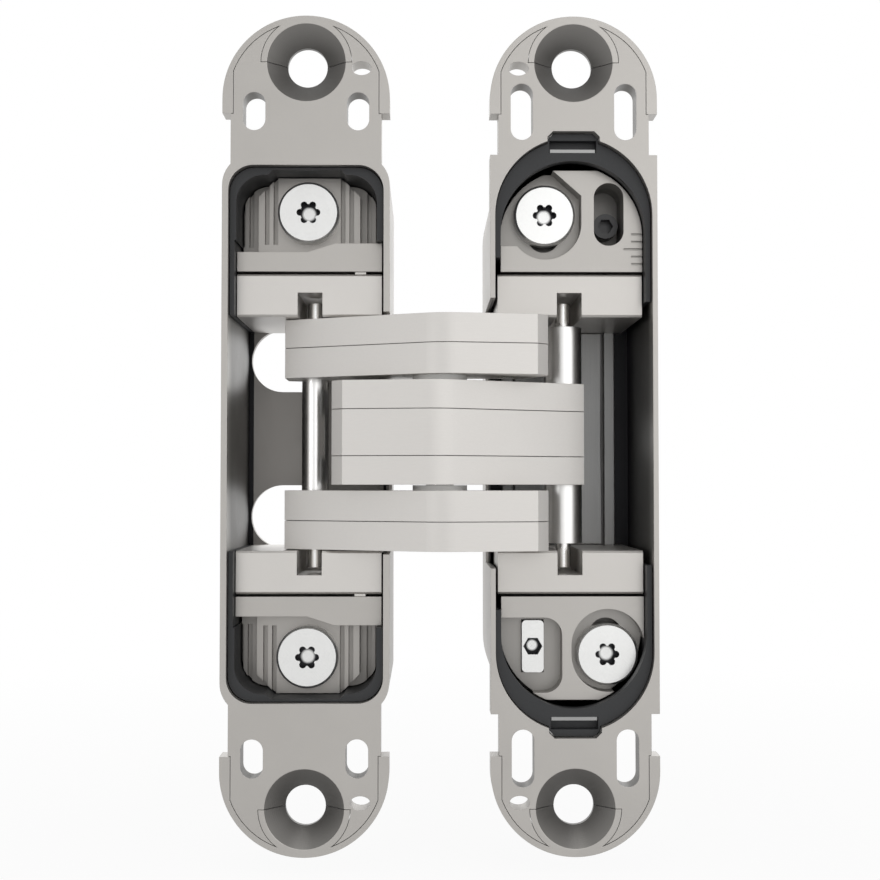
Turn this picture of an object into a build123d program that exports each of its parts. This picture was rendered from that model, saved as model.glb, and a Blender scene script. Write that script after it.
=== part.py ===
# Concealed door hinge shown open flat: a frame leaf on the left, a height-adjustable door
# leaf on the right, and two crossed arms between them. Millimetres, Z up, Y into the leaves.
# Dimensions are taken from the point midway between the leaves, on the plane of their faces, at
# mid height. The saved parts are moved so that the origin is the centre of the frame leaf's
# screw pattern, on the back of its end plates.
import os
from math import cos, radians, sin
from build123d import *

# Leaf faces, all measured from the middle of a leaf
LEAF_SPACING = 48.0
LEAF_LENGTH = 150.0
LEAF_WIDTH = 30.0
LEAF_DEPTH = 34.0
PLATE_THICKNESS = 4.6
END_PLATE_LENGTH = 25.1
CASE_CORNER = 5.5
SIDE_WALL = 1.1
BACK_WALL = 2.0
WAIST_WIDTH = 27.0
CAP_LENGTH = 17.7
CAP_RIM = 2.0
CAP_LIP = 1.1
SEAM = 0.1

# Fixing holes in the ends
SCREW_HOLE_RADIUS = 3.6
SINK_RADIUS = 7.1
SINK_DEPTH = 3.5
SCREW_END_GAP = 8.45
LUG_SLOT_WIDTH = 4.0
FRAME_SLOT_LENGTH = 6.9
DOOR_SLOT_LENGTH = 10.2
SLOT_OFFSET = 9.3
SLOT_END_GAP = 17.3
KEY_HOLE_OFFSET = 9.9
KEY_HOLE_END_GAP = 9.5
KEY_HOLE_WIDTH = 3.6
KEY_HOLE_TALL = 2.5

# Pockets behind the faces
CASE_END_WALL = 1.9
FRAME_POCKET_CORNER = 4.5
DOOR_POCKET_WALL = 0.9
DOOR_POCKET_INSET = 10.8
DOOR_NOTCH_HALF = 4.7
DOOR_NOTCH_RISE = 1.0
DOOR_NOTCH_CORNER = 1.0
WINDOW_HEIGHT = 12.5
WINDOW_LENGTH = 17.0
WINDOW_CENTRE = 15.6
DOOR_WINDOW_RADIUS = 4.0

# Linkage, as places in plan: distance from the middle of the hinge and depth behind the faces
PIVOT_OUT = 12.5
PIVOT_DEEP = 6.1
CENTRE_DEEP = 3.0
SLIDE_OUT = 23.2
SLIDE_DEEP = 13.0
SLIDE_TRAVEL = 9.2
PIN_RADIUS = 2.5
TIP_RADIUS = 1.4
RUNNING_GAP = 0.05
SEAT_GAP = 0.02
STUB_RADIUS = 1.6
SIDE_PLAY = 0.1
TRACK_DRIFT_OUT = 1.1
TRACK_DRIFT_IN = 0.4
GATE_DEEP = 20.0

# Arms, as heights above mid height and outlines in plan
MIDDLE_HALF = 9.25
MIDDLE_JOINT = 4.15
OUTER_LOW = 10.3
OUTER_JOINT = 15.8
OUTER_HIGH = 21.0
PLATE_GAP = 0.12
KINK_DEEP = -5.0
KINK_ROUND = 9.0
OUTER_END_OUT = 28.4
MIDDLE_END_OUT = 26.6
ARM_END_FRONT = 8.0
ARM_SHOULDER_OUT = 19.3
ARM_SHOULDER_FRONT = -2.2
ARM_SHOULDER_CUT = 2.0
ARM_SHOULDER_BACK = 2.4
ARM_HEEL_OUT = 14.9
ARM_BACK = 9.2
EYE_RADIUS = 4.9
LUG_RADIUS = 4.0
LUG_CLEAR = 0.4
LUG_SWEEP = 9.6
LUG_SWEEP_ANGLES = (22, 60, 95, 130, 165, 190, 216)
SPINE_THICK = 1.7
SPINE_FRONT = 11.5
ROLLER_RADIUS = 3.5
ROLLER_TOP = 20.1
WASHER_RADIUS = 4.9

# Slot blocks and the carriers behind them
BLOCK_LOW = 21.2
BLOCK_HIGH = 29.0
BLOCK_FRONT = 4.2
BLOCK_OUTER = 12.8
BLOCK_INNER = 13.5
TRACK_TOP = 25.6
TIP_TOP = 24.6
BLOCK_LINE = 0.45
BLOCK_BRIDGE_IN = 8.6
BLOCK_BRIDGE_WIDTH = 2.0
LEDGE_LOW_TOP = 33.0
LEDGE_HIGH_TOP = 34.6
CARRIER_HALF = 12.5
CARRIER_END_GAP = 1.6
CARRIER_CORNER = 5.0
WING_FRONT = 11.0
PAD_FRONT = 8.0
PAD_HALF = 9.4
PAD_RISE = 0.9
PAD_CHAMFER = 3.4
FLUTE_WIDTH = 0.8
FLUTE_DEPTH = 1.1

# Clamp screws
HEAD_RADIUS = 5.6
HEAD_HEIGHT = 2.6
SHANK_RADIUS = 2.9
SOCKET_RADIUS = 1.55
SOCKET_LOBE = 0.62
SOCKET_DEPTH = 2.0
HEAD_CLEAR = 0.25
FRAME_SCREW_INSET = 5.9

# Door leaf height adjustment
LIFT = 2.5
CARRIAGE_HALF = 12.9
CARRIAGE_CROWN = 3.1
DOOR_SCREW_RISE = 0.9
CARRIAGE_FLAT = 0.9
TOP_SCREW_INWARD = 4.8
BOTTOM_SCREW_INWARD = -6.4
RECESS_RADIUS = 6.6
RECESS_FALL = 3.4
OVAL_OUTWARD = 6.8
OVAL_WIDTH = 5.4
OVAL_LENGTH = 11.5
OVAL_DEPTH = 9.0
ADJUSTER_RADIUS = 2.3
ADJUSTER_HEX = 2.5
SLIDER_INWARD = 7.0
SLIDER_WIDTH = 4.0
SLIDER_LENGTH = 9.5
SLIDER_THICK = 3.0
SLIDER_HEX = 3.0
SLIDER_DROP = 1.3
SLIDER_RECESS_WIDTH = 11.0
SLIDER_RECESS_LENGTH = 13.5
SLIDER_RECESS_CORNER = 3.2
LINER_FRONT = 1.6
LINER_LIP = 2.3
LINER_GAP = 0.15
CLIP_HALF = 4.1
CLIP_WINDOW = 2.2
CLIP_DROP = 2.4
CLIP_BAR = 0.7
TICK_WIDTH = 0.35
TICK_STEP = 1.36
TICK_LENGTH = 2.0

HALF_LENGTH = LEAF_LENGTH / 2
HALF_WIDTH = LEAF_WIDTH / 2
END_CENTRE = HALF_LENGTH - HALF_WIDTH
CAP_START = HALF_LENGTH - CAP_LENGTH
SCREW_HEIGHT = HALF_LENGTH - SCREW_END_GAP
SLOT_HEIGHT = HALF_LENGTH - SLOT_END_GAP
KEY_HOLE_HEIGHT = HALF_LENGTH - KEY_HOLE_END_GAP
CASE_HALF = HALF_LENGTH - END_PLATE_LENGTH
FRAME_POCKET_HALF = CASE_HALF - CASE_END_WALL
CARRIER_TOP = FRAME_POCKET_HALF - CARRIER_END_GAP
FRAME_SCREW_HEIGHT = CARRIER_TOP - FRAME_SCREW_INSET
DOOR_POCKET_CENTRE = CASE_HALF - DOOR_POCKET_INSET
DOOR_SCREW_HEIGHT = DOOR_POCKET_CENTRE + DOOR_SCREW_RISE
CARRIAGE_CENTRE = DOOR_POCKET_CENTRE - CARRIAGE_CROWN
FLOOR = LEAF_DEPTH - BACK_WALL
POCKET_HALF = HALF_WIDTH - SIDE_WALL
DOOR_POCKET_RADIUS = HALF_WIDTH - DOOR_POCKET_WALL
PLATE_HALF = HALF_WIDTH - CAP_RIM
TRACK_WIDTH = 2 * TIP_RADIUS + TRACK_DRIFT_OUT + TRACK_DRIFT_IN + 2 * SIDE_PLAY
TRACK_OUT = SLIDE_OUT + (TRACK_DRIFT_OUT - TRACK_DRIFT_IN) / 2
TRACK_INWARD = LEAF_SPACING / 2 - TRACK_OUT
PIVOT_INWARD = LEAF_SPACING / 2 - PIVOT_OUT
BACK_OF_BLOCKS = FLOOR - 0.05
TRACK_END = SLIDE_DEEP + SLIDE_TRAVEL + 2 * TIP_RADIUS
EDGE = 0.4
STACK_LOW = BLOCK_HIGH + BLOCK_LINE
TICK_MIDDLE = BLOCK_HIGH + 4.6


def at_front(sketch, front, back):
    """Extrude a face drawn in X and Z from one depth to another."""
    return extrude(Plane.XZ.offset(-front) * sketch, amount=back - front, dir=(0, 1, 0))


def in_plan(sketch, low, high):
    """Extrude a face drawn in X and Y from one height to another."""
    return extrude(Plane.XY.offset(low) * sketch, amount=high - low, dir=(0, 0, 1))


def rod(x, y, radius, low, high):
    return in_plan(Pos(x, y) * Circle(radius), low, high)


def drill(x, z, radius, front, back):
    return at_front(Pos(x, z) * Circle(radius), front, back)


def patch(x0, x1, y0, y1):
    return Pos((x0 + x1) / 2, (y0 + y1) / 2) * Rectangle(x1 - x0, y1 - y0)


def block(x0, x1, y0, y1, z0, z1):
    return Pos((x0 + x1) / 2, (y0 + y1) / 2, (z0 + z1) / 2) * Box(x1 - x0, y1 - y0, z1 - z0)


def upside(shape):
    return mirror(shape, about=Plane.XY)


def both_ends(sketch):
    """A face in X and Z together with its copy below mid height."""
    return sketch + mirror(sketch, about=Plane.XZ)


def on_frame(shape):
    """Place a shape drawn with +X towards the gap onto the frame leaf."""
    return Pos(-LEAF_SPACING / 2, 0, 0) * shape


def on_door(shape):
    """Place a shape drawn with +X towards the gap onto the door leaf."""
    return Pos(LEAF_SPACING / 2, 0, 0) * mirror(shape, about=Plane.YZ)


# Leaf face: the plate between the end caps and the caps round its ends
def cap_lobe():
    lobe = Pos(0, SCREW_HEIGHT) * Circle(SINK_RADIUS + CAP_LIP)
    return lobe & patch(-HALF_WIDTH, HALF_WIDTH, SCREW_HEIGHT, HALF_LENGTH)


def plate_face(seam=0.0):
    half = PLATE_HALF + seam
    end = patch(-half, half, END_CENTRE, HALF_LENGTH)
    tongue = Pos(0, END_CENTRE) * Circle(HALF_WIDTH - CAP_LIP + seam) & end
    tongue = tongue + patch(-half, half, 0, END_CENTRE)
    return both_ends(tongue) + Rectangle(WAIST_WIDTH, 2 * (CAP_START - SEAM)) if seam == 0 else tongue


def plate(slot_length):
    face = plate_face() - both_ends(cap_lobe())
    return at_front(face, 0, PLATE_THICKNESS) - end_holes(slot_length)


def end_holes(slot_length):
    cone = Cone(SCREW_HOLE_RADIUS, SINK_RADIUS, SINK_DEPTH, align=(Align.CENTER, Align.CENTER, Align.MAX))
    sink = Pos(0, 0, SCREW_HEIGHT) * Rot(X=90) * cone
    hole = drill(0, SCREW_HEIGHT, SCREW_HOLE_RADIUS, -1, PLATE_THICKNESS + 1)
    slots = Pos(SLOT_OFFSET, SLOT_HEIGHT) * SlotOverall(slot_length, LUG_SLOT_WIDTH, rotation=90)
    key = Pos(KEY_HOLE_OFFSET, KEY_HOLE_HEIGHT) * Ellipse(KEY_HOLE_WIDTH / 2, KEY_HOLE_TALL / 2)
    cuts = at_front(slots + mirror(slots, about=Plane.YZ) + key, -1, PLATE_THICKNESS + 1)
    upper = sink + hole + cuts
    return upper + upside(upper)


def end_cap(slot_length):
    end = patch(-HALF_WIDTH, HALF_WIDTH, END_CENTRE, HALF_LENGTH)
    outline = Pos(0, END_CENTRE) * Circle(HALF_WIDTH) & end
    outline = outline + patch(-HALF_WIDTH, HALF_WIDTH, CAP_START, END_CENTRE)
    face = outline - (plate_face(SEAM) - offset(cap_lobe(), -SEAM))
    return at_front(face, 0, PLATE_THICKNESS) - end_holes(slot_length)


# Housings: a deep case behind each face, open towards the gap where the arms pass
def arm_gate(half_height):
    return block(POCKET_HALF - 1, HALF_WIDTH + 1, -1, GATE_DEEP, -half_height, half_height)


def frame_housing():
    case = at_front(RectangleRounded(LEAF_WIDTH, 2 * CASE_HALF, CASE_CORNER), 0, LEAF_DEPTH)
    opening = RectangleRounded(2 * POCKET_HALF, 2 * FRAME_POCKET_HALF, FRAME_POCKET_CORNER)
    pocket = at_front(opening, -1, FLOOR)
    body = case + plate(FRAME_SLOT_LENGTH) - pocket - arm_gate(BLOCK_LOW + BLOCK_LINE)
    window = SlotOverall(WINDOW_LENGTH, WINDOW_HEIGHT)
    window_at = WINDOW_LENGTH / 2 - POCKET_HALF + BLOCK_LINE
    for side in (1, -1):
        body = body - at_front(Pos(window_at, side * WINDOW_CENTRE) * window, FLOOR - 1, LEAF_DEPTH + 1)
        body = body - drill(0, side * FRAME_SCREW_HEIGHT, SHANK_RADIUS + SIDE_PLAY, FLOOR - 1, LEAF_DEPTH + 1)
    return body


def notch_face(gap):
    """The step above the round end of the door pocket, drawn in by a gap."""
    top = DOOR_POCKET_CENTRE + DOOR_POCKET_RADIUS + DOOR_NOTCH_RISE - gap
    half = DOOR_NOTCH_HALF - gap
    face = patch(-half, half, DOOR_POCKET_CENTRE, top)
    return chamfer([v for v in face.vertices() if v.Y > top - 1], DOOR_NOTCH_CORNER)


def door_housing():
    stretch = 2 * DOOR_POCKET_CENTRE
    case = at_front(SlotOverall(stretch + LEAF_WIDTH, LEAF_WIDTH, rotation=90), 0, LEAF_DEPTH)
    cheeks = at_front(Rectangle(LEAF_WIDTH, 2 * CASE_HALF), 0, PLATE_THICKNESS)
    opening = SlotOverall(stretch + 2 * DOOR_POCKET_RADIUS, 2 * DOOR_POCKET_RADIUS, rotation=90)
    pocket = at_front(opening, -1, FLOOR)
    notch = at_front(both_ends(notch_face(0)), -1, PLATE_THICKNESS)
    body = case + cheeks + plate(DOOR_SLOT_LENGTH) - pocket - notch - arm_gate(BLOCK_LOW + LIFT + BLOCK_LINE)
    body = body - drill(0, 0, DOOR_WINDOW_RADIUS, FLOOR - 1, LEAF_DEPTH + 1)
    travel = SlotOverall(2 * (SHANK_RADIUS + LIFT + SIDE_PLAY), 2 * (SHANK_RADIUS + SIDE_PLAY), rotation=90)
    for x, z in ((TOP_SCREW_INWARD, DOOR_SCREW_HEIGHT), (BOTTOM_SCREW_INWARD, -DOOR_SCREW_HEIGHT)):
        body = body - at_front(Pos(x, z) * travel, FLOOR - 1, LEAF_DEPTH + 1)
    return body


# Frame leaf inner parts
def head_room(x, z):
    """Room for a clamp screw's head in whatever lies in front of its seat."""
    return drill(x, z, HEAD_RADIUS + HEAD_CLEAR, -1, PAD_FRONT)


def ledge_face():
    return Polygon(
        (-BLOCK_OUTER, STACK_LOW), (BLOCK_INNER, STACK_LOW),
        (BLOCK_INNER, LEDGE_HIGH_TOP), (PIN_RADIUS * 2, LEDGE_HIGH_TOP), (0, LEDGE_LOW_TOP),
        (-BLOCK_OUTER, LEDGE_LOW_TOP), align=None)


def carrier_face(half, top, corner):
    face = patch(-half, half, STACK_LOW, top)
    return fillet([v for v in face.vertices() if v.Y > top - 1], corner)


def pad_face(gap=0.0):
    top = CARRIER_TOP + PAD_RISE + gap
    face = patch(-PAD_HALF - gap, PAD_HALF + gap, STACK_LOW, top)
    return chamfer([v for v in face.vertices() if v.Y > top - 1], PAD_CHAMFER)


def frame_carrier():
    base = at_front(carrier_face(CARRIER_HALF, CARRIER_TOP, CARRIER_CORNER), WING_FRONT, BACK_OF_BLOCKS)
    ledge = at_front(ledge_face(), BLOCK_FRONT, WING_FRONT)
    body = base + at_front(pad_face(), PAD_FRONT, WING_FRONT) + ledge
    step = 2 * FLUTE_WIDTH
    pad_flutes = [PAD_HALF - step * (n + 1) for n in range(2)]
    wing_flutes = [PAD_HALF + step * (n + 1) for n in range(2)]
    for side in (1, -1):
        for out, front in [(o, PAD_FRONT) for o in pad_flutes] + [(o, WING_FRONT) for o in wing_flutes]:
            x = side * out
            body = body - block(x - FLUTE_WIDTH / 2, x + FLUTE_WIDTH / 2, front - 1, front + FLUTE_DEPTH,
                                LEDGE_HIGH_TOP + EDGE, CARRIER_TOP + 2)
    body = body - head_room(0, FRAME_SCREW_HEIGHT)
    return body - drill(0, FRAME_SCREW_HEIGHT, SHANK_RADIUS + SIDE_PLAY, 0, LEAF_DEPTH)


def liner_leg(half, beside, low, top):
    """A strip beside the slot block, on the side away from the gap between the leaves."""
    return block(-half, -beside - LINER_GAP, LINER_FRONT, BACK_OF_BLOCKS, low, top + 1)


def frame_liner():
    half = POCKET_HALF - LINER_GAP
    outer = carrier_face(half, FRAME_POCKET_HALF - LINER_GAP, FRAME_POCKET_CORNER)
    wings = carrier_face(CARRIER_HALF + LINER_GAP, CARRIER_TOP + LINER_GAP, CARRIER_CORNER)
    front = LINER_FRONT + LINER_LIP
    lip = at_front(outer - wings - pad_face(LINER_GAP), LINER_FRONT, front)
    skirt = at_front(outer - wings - pad_face(LINER_GAP), front, BACK_OF_BLOCKS)
    low = LEDGE_HIGH_TOP + LINER_GAP
    legs_end = at_front(patch(-HALF_WIDTH, HALF_WIDTH, 0, low), 0, LEAF_DEPTH)
    return lip + skirt - legs_end + liner_leg(half, BLOCK_OUTER, BLOCK_LOW, low)


def slot_block():
    body = block(-BLOCK_OUTER, BLOCK_INNER, BLOCK_FRONT, BACK_OF_BLOCKS, BLOCK_LOW, BLOCK_HIGH)
    body = chamfer(body.edges().filter_by(Axis.X).sort_by(Axis.Y)[:2], EDGE)
    track_in = TRACK_INWARD - TRACK_WIDTH / 2
    track = block(track_in, track_in + TRACK_WIDTH, 0, TRACK_END, BLOCK_LOW - 1, TRACK_TOP)
    return body - track


def frame_slot_block():
    bridge_out = BLOCK_BRIDGE_IN + BLOCK_BRIDGE_WIDTH
    bridge = block(
        BLOCK_BRIDGE_IN, bridge_out, BLOCK_FRONT + EDGE, WING_FRONT, BLOCK_HIGH, STACK_LOW - SEAT_GAP)
    return slot_block() + bridge - head_room(0, FRAME_SCREW_HEIGHT)


def star_socket():
    """Six-lobed driver socket."""
    lobes = Sketch() + [loc * Circle(SOCKET_LOBE) for loc in PolarLocations(SOCKET_RADIUS, 6)]
    return lobes + Circle(SOCKET_RADIUS)


def clamp_screw(x, z):
    under = PAD_FRONT - HEAD_HEIGHT
    head = chamfer(drill(0, 0, HEAD_RADIUS, under, PAD_FRONT).edges().sort_by(Axis.Y)[0], EDGE)
    shank = drill(0, 0, SHANK_RADIUS, PAD_FRONT, LEAF_DEPTH - EDGE)
    return Pos(x, 0, z) * (head + shank - at_front(star_socket(), under - 1, under + SOCKET_DEPTH))


# Arms: each is a stack of plates with the same outline
def arm_outline(side, end_out):
    """Plan of an arm whose slide end lies on the given side; its pivot end is opposite."""
    points = [
        (end_out, ARM_END_FRONT), (0, KINK_DEEP),
        (ARM_SHOULDER_CUT - ARM_SHOULDER_OUT, ARM_SHOULDER_FRONT),
        (-ARM_SHOULDER_OUT, ARM_SHOULDER_FRONT + ARM_SHOULDER_CUT),
        (-ARM_SHOULDER_OUT, ARM_SHOULDER_BACK), (-ARM_HEEL_OUT, ARM_BACK), (0, ARM_BACK),
        (SLIDE_OUT - EYE_RADIUS / 2, SLIDE_DEEP + EYE_RADIUS), (end_out, SLIDE_DEEP + EYE_RADIUS / 2)]
    face = Polygon(*points, align=None)
    face = fillet([v for v in face.vertices() if abs(v.X) < 1 and v.Y < 0], KINK_ROUND)
    return face if side > 0 else mirror(face, about=Plane.YZ)


def lug_sweep():
    """Room in the middle arm's outer plates for the bracket lugs, over the whole swing."""
    pie = [(-PIVOT_OUT + LUG_SWEEP * cos(radians(a)), PIVOT_DEEP + LUG_SWEEP * sin(radians(a)))
           for a in LUG_SWEEP_ANGLES]
    eye = Pos(-PIVOT_OUT, PIVOT_DEEP) * Circle(LUG_RADIUS + LUG_CLEAR)
    return Polygon((-PIVOT_OUT, PIVOT_DEEP), *pie, align=None) + eye


def arm_plate(side, low, high, end_out, cut=None):
    face = arm_outline(side, end_out)
    if cut is not None:
        face = face - cut
    body = in_plan(face, low, high)
    loose = PIN_RADIUS + RUNNING_GAP
    for x, y, radius in ((0, CENTRE_DEEP, loose), (side * SLIDE_OUT, SLIDE_DEEP, PIN_RADIUS + SEAT_GAP),
                         (-side * PIVOT_OUT, PIVOT_DEEP, loose)):
        body = body - rod(x, y, radius, low - 1, high + 1)
    return body


def slide_pin(x, shoulder):
    pin = rod(x, SLIDE_DEEP, PIN_RADIUS, -shoulder, shoulder)
    return pin + rod(x, SLIDE_DEEP, TIP_RADIUS, -TIP_TOP, TIP_TOP)


def sleeve(x, y, radius, bore, low, high):
    return rod(x, y, radius, low, high) - rod(x, y, bore, low - 1, high + 1)


def pivot_bracket():
    """Two lugs either side of the middle arm's core plate, on a spine along the inner wall."""
    face_in = LEAF_SPACING / 2 - HALF_WIDTH + SEAM
    wall_in = LEAF_SPACING / 2 - POCKET_HALF + RUNNING_GAP
    tip = patch(-face_in - 1, -face_in, SPINE_FRONT, SPINE_FRONT + 1)
    lug = make_hull((Pos(-PIVOT_OUT, PIVOT_DEEP) * Circle(LUG_RADIUS)).edges() + tip.edges())
    lug = in_plan(lug, MIDDLE_JOINT + PLATE_GAP, MIDDLE_HALF - PLATE_GAP)
    rib = block(
        -face_in - SPINE_THICK, -face_in, SPINE_FRONT, GATE_DEEP - RUNNING_GAP, -MIDDLE_HALF, MIDDLE_HALF)
    spine = block(
        -wall_in - SPINE_THICK, -wall_in, SPINE_FRONT + 4, BACK_OF_BLOCKS, -MIDDLE_HALF, MIDDLE_HALF)
    body = lug + upside(lug) + rib + spine
    return body - rod(-PIVOT_OUT, PIVOT_DEEP, PIN_RADIUS + SEAT_GAP, -BLOCK_LOW, BLOCK_LOW)


# Door leaf carriages, which hold the slot blocks and let the case slide up and down
def carriage_outline(gap=0.0, lift=0.0):
    radius = CARRIAGE_HALF + gap
    top = CARRIAGE_CENTRE + radius + lift
    return SlotOverall(2 * top, 2 * radius, rotation=90) & patch(-radius, radius, STACK_LOW, top)


def carriage(screw_x, recess):
    flat = patch(-HALF_WIDTH, HALF_WIDTH, CARRIAGE_CENTRE + CARRIAGE_HALF - CARRIAGE_FLAT, HALF_LENGTH)
    outline = carriage_outline() - flat
    screw_cut = SlotOverall(2 * RECESS_RADIUS + RECESS_FALL / 2, 2 * RECESS_RADIUS, rotation=90)
    raised = outline - recess - Pos(screw_x, DOOR_SCREW_HEIGHT - RECESS_FALL / 4) * screw_cut
    body = at_front(outline, PAD_FRONT, BACK_OF_BLOCKS) + at_front(raised, BLOCK_FRONT, PAD_FRONT)
    bore = 2 * (SHANK_RADIUS + SIDE_PLAY)
    shank_room = SlotOverall(bore + RECESS_FALL, bore, rotation=90)
    well = PAD_FRONT + RECESS_FALL
    body = body - at_front(Pos(screw_x, DOOR_SCREW_HEIGHT - RECESS_FALL / 2) * shank_room, 0, well)
    body = body - drill(screw_x, DOOR_SCREW_HEIGHT, SHANK_RADIUS + SIDE_PLAY, 0, LEAF_DEPTH)
    return body - head_room(screw_x, DOOR_SCREW_HEIGHT)


def top_carriage():
    beside = HEAD_RADIUS + HEAD_CLEAR
    recess = patch(TOP_SCREW_INWARD, HALF_WIDTH, DOOR_SCREW_HEIGHT - beside, HALF_LENGTH)
    edge = TOP_SCREW_INWARD - RECESS_RADIUS
    flare = Polygon((edge, DOOR_SCREW_HEIGHT), (HALF_WIDTH, DOOR_SCREW_HEIGHT), (HALF_WIDTH, HALF_LENGTH),
                    (TOP_SCREW_INWARD - EDGE, HALF_LENGTH),
                    (TOP_SCREW_INWARD - EDGE, CARRIAGE_CENTRE + CARRIAGE_HALF),
                    (edge, DOOR_SCREW_HEIGHT + RECESS_FALL), align=None)
    body = carriage(TOP_SCREW_INWARD, recess + flare)
    oval = Pos(-OVAL_OUTWARD, DOOR_SCREW_HEIGHT) * SlotOverall(OVAL_LENGTH, OVAL_WIDTH, rotation=90)
    body = body - at_front(oval, 0, BLOCK_FRONT + OVAL_DEPTH)
    for index in range(-2, 3):
        z = TICK_MIDDLE + index * TICK_STEP
        length = TICK_LENGTH * (1.7 if index == 0 else 1)
        body = body - block(-CARRIAGE_HALF - 1, length - CARRIAGE_HALF, 0, BLOCK_FRONT + TICK_WIDTH,
                            z - TICK_WIDTH / 2, z + TICK_WIDTH / 2)
    return body


def bottom_carriage():
    rounded = RectangleRounded(SLIDER_RECESS_WIDTH, SLIDER_RECESS_LENGTH, SLIDER_RECESS_CORNER)
    recess = Pos(SLIDER_INWARD + EDGE, DOOR_SCREW_HEIGHT) * rounded
    half = SLIDER_RECESS_LENGTH / 2
    recess = recess + patch(SLIDER_INWARD, HALF_WIDTH, DOOR_SCREW_HEIGHT - half, DOOR_SCREW_HEIGHT + half)
    return upside(carriage(BOTTOM_SCREW_INWARD, recess) - slider_room())


def door_collar(screw_x):
    half = DOOR_POCKET_RADIUS - LINER_GAP
    top = DOOR_POCKET_CENTRE + half
    low = BLOCK_HIGH + LIFT + LINER_GAP
    outer = SlotOverall(2 * top, 2 * half, rotation=90) & patch(-half, half, low, top)
    tab = notch_face(LINER_GAP)
    front = LINER_FRONT + LINER_LIP
    lip = at_front(outer + tab - carriage_outline(LINER_GAP, LINER_GAP), LINER_FRONT, front)
    skirt = at_front(outer - carriage_outline(LINER_GAP, LIFT + LINER_GAP), front, BACK_OF_BLOCKS)
    bar_top = top - CLIP_DROP
    window = patch(-CLIP_HALF - LINER_GAP, CLIP_HALF + LINER_GAP, bar_top, bar_top + CLIP_WINDOW)
    leg = liner_leg(half, CARRIAGE_HALF, BLOCK_LOW + LIFT, low)
    beside = HEAD_RADIUS + HEAD_CLEAR
    head_travel = Pos(screw_x, DOOR_SCREW_HEIGHT) * SlotOverall(2 * (beside + LIFT), 2 * beside, rotation=90)
    body = lip + skirt - at_front(window, LINER_FRONT - 1, front - EDGE) + leg
    return body - at_front(head_travel, front, PAD_FRONT + SIDE_PLAY)


def door_clip():
    """Spring clip bar seen in the collar's window."""
    top = DOOR_POCKET_CENTRE + DOOR_POCKET_RADIUS - LINER_GAP - CLIP_DROP + CLIP_BAR
    back = LINER_FRONT + LINER_LIP - EDGE
    return at_front(patch(-CLIP_HALF, CLIP_HALF, top - CLIP_BAR + SEAT_GAP, top), back - 1.5, back)


def slider_room():
    groove = Rectangle(SLIDER_WIDTH + SIDE_PLAY, SLIDER_LENGTH + SIDE_PLAY)
    groove = Pos(SLIDER_INWARD, DOOR_SCREW_HEIGHT - SLIDER_DROP) * groove
    return at_front(groove, 0, PAD_FRONT + SLIDER_THICK - 1)


def adjuster_room():
    radius = ADJUSTER_RADIUS + SIDE_PLAY
    return drill(-OVAL_OUTWARD, DOOR_SCREW_HEIGHT - SLIDER_DROP, radius, 0, BLOCK_FRONT + OVAL_DEPTH)


def height_adjuster():
    seat = BLOCK_FRONT + OVAL_DEPTH
    body = drill(0, 0, ADJUSTER_RADIUS, PAD_FRONT + 1, seat)
    body = body - at_front(RegularPolygon(ADJUSTER_HEX / 2, 6, major_radius=False), 0, PAD_FRONT + 3)
    return Pos(-OVAL_OUTWARD, 0, DOOR_SCREW_HEIGHT - SLIDER_DROP) * body


def depth_slider():
    front = PAD_FRONT - 1
    body = at_front(RectangleRounded(SLIDER_WIDTH, SLIDER_LENGTH, 0.8), front, front + SLIDER_THICK)
    body = body - at_front(RegularPolygon(SLIDER_HEX / 2, 6, major_radius=False), 0, front + 2)
    return Pos(SLIDER_INWARD, 0, SLIDER_DROP - DOOR_SCREW_HEIGHT) * body


def door_pivot_pin():
    """Shouldered stub: full size in the arm, smaller where it is let into the slot block."""
    stub = rod(PIVOT_INWARD, PIVOT_DEEP, STUB_RADIUS, OUTER_HIGH, BLOCK_HIGH - 1)
    return rod(PIVOT_INWARD, PIVOT_DEEP, PIN_RADIUS, OUTER_LOW + SIDE_PLAY, OUTER_HIGH + SIDE_PLAY) + stub


def door_slot_block(screw_x, adjustment_room):
    hole = rod(PIVOT_INWARD, PIVOT_DEEP, STUB_RADIUS + SEAT_GAP, 0, BLOCK_HIGH - 1)
    return slot_block() - hole - head_room(screw_x, DOOR_SCREW_HEIGHT) - adjustment_room


def save(name, shape):
    export_step(Pos(LEAF_SPACING / 2, -PLATE_THICKNESS, 0) * shape, f"parts/{name}.step")


def pair(name, shape, place):
    save(f"{name}_top", place(shape))
    save(f"{name}_bottom", place(upside(shape)))


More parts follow.
